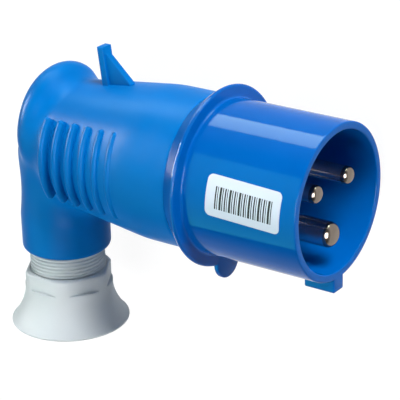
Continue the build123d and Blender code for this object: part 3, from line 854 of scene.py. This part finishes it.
class PLUG_OT_shroud(bpy.types.Operator):
    """Smooth shroud with its flange, key, lug and base wall"""
    bl_idname = "plug.shroud"
    bl_label = "Front shroud"

    def execute(self, context):
        sizes = context.scene.plug_shroud
        piece = turned(
            "shroud_with_flange", along_x(self.outline(sizes)), (0, 0, 0), (1, 0, 0), 160,
            closed=False,
        )
        with_tool(piece, self.key(sizes), "UNION")
        lug = rod(
            "lug", (-lug_thickness / 2, -lug_drop, 0), lug_r, lug_thickness, across_x, 64
        )
        edit(lug)
        bpy.ops.mesh.select_all(action="SELECT")
        bpy.ops.mesh.bevel(offset=sizes.edge, segments=3, profile=0.5)
        leave_edit()
        with_tool(piece, lug, "UNION")
        with_tool(piece, self.holes(), "DIFFERENCE")
        smooth(piece, 35)
        finish_piece(piece, "plug_body", "gloss_blue", materials["gloss_blue"], "front_shroud")
        return {"FINISHED"}

    def outline(self, sizes):
        """Base wall, collar, flange and skirt, from the axis round to the axis again."""
        mouth = sizes.mouth_round
        return softened([
            (base_front_x, 0, 0), (base_front_x, collar_inner_r, base_round),
            (mouth_x, collar_inner_r, mouth), (mouth_x, collar_outer_r, mouth),
            (0, collar_outer_r, flange_foot_round), (0, flange_r, sizes.flange_round),
            (flange_edge_x, flange_r, sizes.edge), (tube_front_x, tube_front_r, sizes.edge),
            (tube_front_x, skirt_r, 0), (groove_front_x, skirt_r, 0),
            (groove_front_x, groove_r, 0), (groove_rear_x, groove_r, 0),
            (groove_rear_x, skirt_r, 0), (skirt_rear_x, skirt_r, 0),
            (skirt_rear_x, skirt_bore_r, 0), (base_rear_x, skirt_bore_r, 0),
            (base_rear_x, 0, 0),
        ])

    def key(self, sizes):
        deselect()
        bpy.ops.mesh.primitive_cube_add(size=1, location=(
            mouth_x - key_length / 2, -collar_outer_r - key_height / 2 + key_buried / 2, 0
        ))
        piece = new_piece("key")
        piece.scale = (key_length, key_height + key_buried, key_width)
        in_place(piece)
        edit(piece)
        bpy.ops.mesh.select_all(action="SELECT")
        bpy.ops.mesh.bevel(offset=sizes.key_round, segments=4, profile=0.5)
        leave_edit()
        return piece

    def holes(self):
        """Pin holes, the two screw holes with their recesses, and the blind middle hole."""
        rods = []
        wall_middle = (base_front_x + base_rear_x) / 2
        through = base_front_x - base_rear_x + 2 * MM
        for place, radius in pin_holes:
            rods.append(rod("hole", (wall_middle, *place), radius, through, across_x))
        for side in (1, -1):
            place = (
                screw_circle_r * math.cos(screw_turn), side * screw_circle_r * math.sin(screw_turn)
            )
            hole = rod("hole", (wall_middle, *place), screw_hole_r, through, across_x)
            recess = rod(
                "recess", (base_front_x, *place), screw_recess_r, 2 * screw_recess, across_x
            )
            rods.append(with_tool(hole, recess, "UNION"))
        rods.append(
            rod("hole", (base_rear_x, 0, 0), middle_hole_r, 2 * middle_hole_depth, across_x)
        )
        return joined(*rods)


def tube_radius(x):
    """Radius of the housing's tapered tube, without its rounded cap."""
    return tube_front_r + min(0.0, x - tube_shoulder_x) * tube_slope


def tube_outline(shrink, front_x):
    corner_r = tube_cap_round - shrink
    cap_x = tube_cap_x + shrink
    lean = math.degrees(math.atan(tube_slope))
    corner_x = cap_x + corner_r
    corner_y = tube_radius(corner_x) - shrink - corner_r / math.cos(math.radians(lean))
    outline = [(cap_x, 0)] + arc((corner_x, corner_y), corner_r, 180, 90 + lean, 12)
    shoulder = [
        (x, tube_radius(x) - shrink)
        for x in (tube_shoulder_x - 3 * MM, tube_shoulder_x, tube_shoulder_x + 3 * MM)
    ]
    return outline + bend(*shoulder, 8) + [(front_x, tube_front_r - shrink), (front_x, 0)]


def dome_outline(shrink):
    half = dome_round - shrink
    crown_r = half + math.hypot(dome_crown_back, dome_rim_r)
    face = [
        (x - dome_crown_back, radius)
        for x, radius in arc((0, 0), crown_r, 0, dome_crown_turn, 10)
    ]
    rim = arc((0, dome_rim_r), half, dome_crown_turn, 180 - dome_crown_turn, 14)
    back = [(-x, radius) for x, radius in reversed(face)]
    return face + rim[1:-1] + back


def neck_outline():
    top = [
        (neck_r * math.sin(math.radians(turn)),
         neck_shoulder_y + neck_top * math.cos(math.radians(turn)))
        for turn in range(0, 91, 10)
    ]
    waist_y = (neck_shoulder_y + waist_low_y) / 2
    waist = bend(
        (neck_r, neck_shoulder_y), (neck_r - 2 * neck_waist, waist_y), (neck_r, waist_low_y), 12
    )[1:]
    edge = arc(
        (neck_r - neck_round, neck_low_y + neck_round), neck_round, 0, -90, 6
    )
    return top + waist + edge + [(0, neck_low_y)]


def dome_distance(point):
    offset = point - dome_centre
    along = offset.dot(dome_along)
    radius = math.sqrt(max(offset.length_squared - along * along, 0))
    if radius > dome_rim_r:
        return math.hypot(radius - dome_rim_r, along) - dome_round
    swell = dome_crown_depth * (1 - (radius / dome_rim_r) ** 2)
    return abs(along) - dome_round - swell


def valley_weight(point):
    """1 where two of the housing's forms meet, 0 well away from there."""
    if point.x > blend_front_x and point.y > blend_front_y:
        return 0
    distances = [
        abs(dome_distance(point)),
        abs(math.hypot(point.y, point.z) - tube_radius(point.x)),
    ]
    if point.y < neck_counts_below_y:
        distances.append(abs(math.hypot(point.x - neck_x, point.z) - neck_r))
    near = sorted(distances)[1]
    height = min(1.0, max(0.0, (point.y - valley_narrows_y) / valley_narrows_over))
    reach = valley_reach + (valley_reach_above - valley_reach) * height
    share = max(0.0, 1 - near / reach)
    return share * share * (3 - 2 * share)


class PLUG_OT_housing(bpy.types.Operator):
    """Hollow elbow housing: tube, dome and neck blended into one, ribs and lid hook"""
    bl_idname = "plug.housing"
    bl_label = "Elbow housing"

    def execute(self, context):
        sizes = context.scene.plug_housing
        piece = self.skin(sizes)
        with_tool(piece, self.ribs_and_hook(sizes), "UNION")
        with_tool(piece, self.room(), "DIFFERENCE")
        smooth(piece, 40)
        finish_piece(piece, "plug_body", "satin_blue", materials["satin_blue"], "elbow_housing")
        return {"FINISHED"}

    def skin(self, sizes):
        """Tube, dome and neck as one closed form with wide soft blends."""
        tube = turned(
            "elbow_skin", along_x(tube_outline(0, tube_front_x)), (0, 0, 0), (1, 0, 0), 128,
            closed=False,
        )
        dome = turned(
            "dome", about_dome(dome_outline(0)), dome_centre, dome_along, 128, closed=False
        )
        neck = turned(
            "neck", about_neck(neck_outline()), (neck_x, 0, 0), (0, 1, 0), 128, closed=False
        )
        piece = joined(tube, dome, neck)
        piece.data.remesh_voxel_size = sizes.voxel
        bpy.ops.object.voxel_remesh()
        soft = piece.vertex_groups.new(name="valleys")
        for vertex in piece.data.vertices:
            weight = valley_weight(vertex.co)
            if weight > 0:
                soft.add([vertex.index], weight, "REPLACE")
        for group, rounds in (("valleys", sizes.blend_rounds), ("", 3)):
            smoother = piece.modifiers.new("smoother", "SMOOTH")
            smoother.factor = 0.5
            smoother.iterations = rounds
            smoother.vertex_group = group
            bpy.ops.object.modifier_apply(modifier=smoother.name)
        return piece

    def rib(self, sizes, middle_x, top_r, side):
        """Round-topped bar bent round the shroud's axis, with a round end at each end."""
        half = sizes.rib_width / 2
        foot_r, crest_r = 17 * MM, top_r - half
        outline = arc((0, crest_r), half, 0, 180, 8) + [(-half, foot_r), (half, foot_r)]
        start, end = math.radians(sizes.rib_top_angle), math.radians(sizes.rib_bottom_angle)

        def placed(x, radius, turn):
            out = Vector((0, math.sin(turn), side * math.cos(turn)))
            return Vector((middle_x + x, 0, 0)) + out * radius

        bar = drawn("rib", [placed(x, radius, start) for x, radius in outline], True)
        bpy.ops.mesh.edge_face_add()
        spun(bar, (0, 0, 0), (1, 0, 0), 40, side * (end - start))
        for turn in (start, end):
            out = Vector((0, math.sin(turn), side * math.cos(turn)))
            ends = arc((0, crest_r), half, 90, 0, 6) + [(half, foot_r), (0, foot_r)]
            tip = turned(
                "rib_end", [placed(x, radius, turn) for x, radius in ends],
                (middle_x, 0, 0), out, 24, closed=False,
            )
            with_tool(bar, tip, "UNION")
        return bar

    def ribs_and_hook(self, sizes):
        bars = [fused(self.hook_plate(sizes), self.hook_web(sizes))]
        for number in range(sizes.rib_count):
            middle_x = sizes.rib_first_x + sizes.rib_pitch * number
            steps_down = sizes.rib_count - 1 - number
            top_r = sizes.rib_top_r - sizes.rib_slope * sizes.rib_pitch * steps_down
            for side in (1, -1):
                bars.append(self.rib(sizes, middle_x, top_r, side))
        return joined(*bars)

    def hook_plate(self, sizes):
        thick = sizes.hook_thickness
        return flat_shape("hook_plate", [
            (hook_top_x, hook_top_y), (hook_foot_x, hook_foot_y),
            (hook_foot_x + thick, hook_foot_y), (hook_top_x + thick, hook_top_y),
        ], sizes.hook_width, sizes.hook_edge)

    def hook_web(self, sizes):
        return flat_shape("hook_web", [
            (web_rear_x, web_top_y), (hook_foot_x, hook_foot_y), (web_front_x, hook_foot_y),
            (web_front_x, web_front_y), (web_crest_x, web_top_y),
        ], sizes.hook_web_width, sizes.hook_edge)

    def room(self):
        """What is hollow inside: the tube, the dome and the way down the neck."""
        tube = turned(
            "wiring_room", along_x(tube_outline(housing_wall, tube_front_x + MM)),
            (0, 0, 0), (1, 0, 0), 96, closed=False,
        )
        dome = turned(
            "dome_room", about_dome(dome_outline(housing_wall)), dome_centre, dome_along,
            96, closed=False,
        )
        cap = [
            (neck_bore_r * math.sin(math.radians(turn)),
             neck_shoulder_y + (neck_top - housing_wall) * math.cos(math.radians(turn)))
            for turn in range(0, 91, 15)
        ]
        bore = turned(
            "neck_room", about_neck(cap + [
                (neck_bore_r, sleeve_seat_y), (sleeve_seat_r, sleeve_seat_y),
                (sleeve_seat_r, neck_low_y - MM), (0, neck_low_y - MM),
            ]), (neck_x, 0, 0), (0, 1, 0), 96, closed=False,
        )
        return fused(tube, dome, bore)


class PLUG_OT_sleeve(bpy.types.Operator):
    """Gland sleeve with its screw thread"""
    bl_idname = "plug.sleeve"
    bl_label = "Gland sleeve"

    def execute(self, context):
        sizes = context.scene.plug_gland
        crest_r = (sleeve_high.x - sleeve_low.x) / 2
        root_r = crest_r - sizes.thread_depth
        top, bottom = sleeve_high.y, sleeve_low.y
        ledge_y, ledge_r, bore_r = -30 * MM, 7.6 * MM, 8.8 * MM
        chamfer = 0.4 * MM
        outline = [
            (ledge_r, top), (ledge_r, ledge_y), (bore_r, ledge_y), (bore_r, bottom),
            (root_r - chamfer, bottom), (root_r, bottom + chamfer), (root_r, top),
        ]
        piece = turned(
            "threaded_sleeve", about_neck(outline), (neck_x, 0, 0), (0, 1, 0), 96
        )
        ridge = self.ridge(sizes, root_r, crest_r, bottom, top)
        make_active(piece)
        ridge.select_set(True)
        bpy.ops.object.join()
        smooth(piece, 30)
        finish_piece(piece, "plug_body", "pale_grey", materials["pale_grey"], "gland_sleeve")
        return {"FINISHED"}

    def ridge(self, sizes, root_r, crest_r, bottom, top):
        """One ridge, wound round the sleeve as the thread."""
        pitch = sizes.thread_pitch
        buried = root_r - 0.1 * MM
        foot, tip = 0.40 * pitch, 0.13 * pitch
        turns = int((top - bottom) / pitch) - 2
        start_y = bottom + 1.2 * pitch
        corners = [(buried, -foot), (buried, foot), (crest_r, tip), (crest_r, -tip)]
        piece = drawn(
            "thread_ridge",
            [(neck_x + radius, start_y + height, 0) for radius, height in corners], True,
        )
        leave_edit()
        # The modifier winds round the object's own origin, so that goes on the neck's axis
        bpy.context.scene.cursor.location = (neck_x, 0, 0)
        bpy.ops.object.origin_set(type="ORIGIN_CURSOR")
        winding = piece.modifiers.new("winding", "SCREW")
        winding.axis = "Y"
        winding.angle = 2 * math.pi
        winding.screw_offset = pitch
        winding.iterations = turns
        winding.steps = winding.render_steps = 64
        make_active(piece)
        bpy.ops.object.modifier_apply(modifier=winding.name)
        in_place(piece)
        edit(piece)
        bpy.ops.mesh.select_all(action="SELECT")
        bpy.ops.mesh.fill_holes(sides=4)
        bpy.ops.mesh.select_all(action="SELECT")
        bpy.ops.mesh.normals_make_consistent(inside=False)
        leave_edit()
        return piece


class PLUG_OT_nut(bpy.types.Operator):
    """Flared gland nut with six flats"""
    bl_idname = "plug.nut"
    bl_label = "Gland nut"

    def execute(self, context):
        piece = smooth_copy("gland_nut", "flared_nut")
        edit(piece)
        bpy.ops.mesh.select_all(action="SELECT")
        bpy.ops.mesh.dissolve_limited(angle_limit=math.radians(0.5))
        leave_edit()
        softener = piece.modifiers.new("softener", "BEVEL")
        softener.limit_method = "ANGLE"
        softener.angle_limit = math.radians(30)
        softener.width = context.scene.plug_gland.nut_edge
        softener.segments = 2
        bpy.ops.object.modifier_apply(modifier=softener.name)
        smooth(piece, 40)
        finish_piece(piece, "nut", "pale_grey", materials["pale_grey"], "gland_nut")
        return {"FINISHED"}


class PLUG_OT_pins(bpy.types.Operator):
    """Three nickel-plated pins with domed tips"""
    bl_idname = "plug.pins"
    bl_label = "Pins"

    def execute(self, context):
        for name in ("line", "neutral", "earth"):
            piece = smooth_copy(f"{name}_pin", f"{name}_contact_pin")
            low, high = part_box(f"{name}_pin")
            radius = earth_pin_r if name == "earth" else pin_r
            place = Vector((0, (low.y + high.y) / 2, (low.z + high.z) / 2))
            with_tool(piece, self.envelope(high.x, radius, place), "INTERSECT")
            smooth(piece, 30)
            finish_piece(piece, "plug_body", "nickel", materials["nickel"], f"{name}_pin")
        return {"FINISHED"}

    def envelope(self, tip_x, radius, place):
        """All that the domed tip leaves of the space round a pin."""
        wide = 3 * radius
        dome = [
            (tip_x - pin_dome * radius * (1 - math.sin(math.radians(turn))),
             radius * (pin_flat + (1 - pin_flat) * math.cos(math.radians(turn))))
            for turn in range(0, 91, 10)
        ]
        outline = [
            (behind_pins_x, 0), (behind_pins_x, wide), (dome[0][0] - MM, wide),
            (dome[0][0] - MM, radius + MM / 50), *dome, (tip_x, 0),
        ]
        return turned(
            "pin_envelope", [place + Vector((x, r, 0)) for x, r in outline], place,
            (1, 0, 0), 64, closed=False,
        )


class PLUG_OT_label(bpy.types.Operator):
    """White label on the shroud, with plain bars and no words"""
    bl_idname = "plug.label"
    bl_label = "Label"

    def execute(self, context):
        inner_r, outer_r = collar_outer_r, collar_outer_r + label_thickness
        start_x, end_x = label_low.x - MM, label_high.x + MM
        piece = turned(
            "white_label",
            along_x([
                (start_x, inner_r), (end_x, inner_r), (end_x, outer_r), (start_x, outer_r)
            ]),
            (0, 0, 0), (1, 0, 0), 320,
        )
        with_tool(piece, self.stamp(), "INTERSECT")
        smooth(piece, 30)
        finish_piece(piece, "plug_body", "label_white", materials["label_white"], "blank_label")
        return {"FINISHED"}

    def stamp(self):
        """Block with round corners that the label is cut out with."""
        across = label_length / 2 - label_round
        up = label_chord / 2 - label_round
        middles = ((across, up), (-across, up), (-across, -up), (across, -up))
        corners = []
        for number, middle in enumerate(middles):
            corners += arc(middle, label_round, 90 * number, 90 * (number + 1), 6)
        block = flat_shape("stamp", corners, 2 * collar_outer_r, 0)
        block.matrix_world = (
            Matrix.Translation(label_centre)
            @ Matrix.Rotation(label_turn[0], 4, "X")
            @ Matrix.Rotation(label_turn[2], 4, "Z")
            @ Matrix.Translation((0, 0, collar_outer_r + MM))
        )
        in_place(block)
        return block


class PLUG_OT_small_parts(bpy.types.Operator):
    """Screws, seals, carrier and rings: smooth copies with their finishes"""
    bl_idname = "plug.small_parts"
    bl_label = "Small parts"

    def execute(self, context):
        slots = {entry["node"]: entry["material_slot"] for entry in frame["record"]["subparts"]}
        for node in sorted(frame["nodes"]):
            cad_object = frame["nodes"][node]
            if cad_object.hide_render:
                continue
            body = cad_object["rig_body"]
            piece = smooth_copy(node, f"{node}_finished")
            finish_piece(piece, body, slots[node], materials[slots[node]], node)
        return {"FINISHED"}


class PLUG_PT_panel(bpy.types.Panel):
    """Sizes, colours and buttons of the plug"""
    bl_idname = "PLUG_PT_panel"
    bl_label = "Angled plug"
    bl_space_type = "VIEW_3D"
    bl_region_type = "UI"
    bl_category = "Plug"

    def draw(self, context):
        layout = self.layout
        for name in setting_groups:
            group = getattr(context.scene, name)
            box = layout.box()
            for setting in group.__annotations__:
                box.prop(group, setting)
        for operator in piece_operators:
            layout.operator(operator.bl_idname)


setting_groups = {
    "plug_shroud": PlugShroudSizes,
    "plug_housing": PlugHousingSizes,
    "plug_gland": PlugGlandSizes,
    "plug_colours": PlugColours,
    "plug_stage": PlugStageSettings,
}
piece_operators = (
    PLUG_OT_stage,
    PLUG_OT_shroud,
    PLUG_OT_housing,
    PLUG_OT_sleeve,
    PLUG_OT_nut,
    PLUG_OT_pins,
    PLUG_OT_label,
    PLUG_OT_small_parts,
)


def register():
    for kind in (*setting_groups.values(), *piece_operators, PLUG_PT_panel):
        bpy.utils.register_class(kind)
    for name, group in setting_groups.items():
        setattr(bpy.types.Scene, name, bpy.props.PointerProperty(type=group))


def unregister():
    for name in setting_groups:
        delattr(bpy.types.Scene, name)
    for kind in reversed((*setting_groups.values(), *piece_operators, PLUG_PT_panel)):
        bpy.utils.unregister_class(kind)


def main():
    register()
    make_materials(bpy.context.scene.plug_colours)
    for operator in piece_operators:
        module, name = operator.bl_idname.split(".")
        getattr(getattr(bpy.ops, module), name)()


if __name__ == "__main__":
    main()
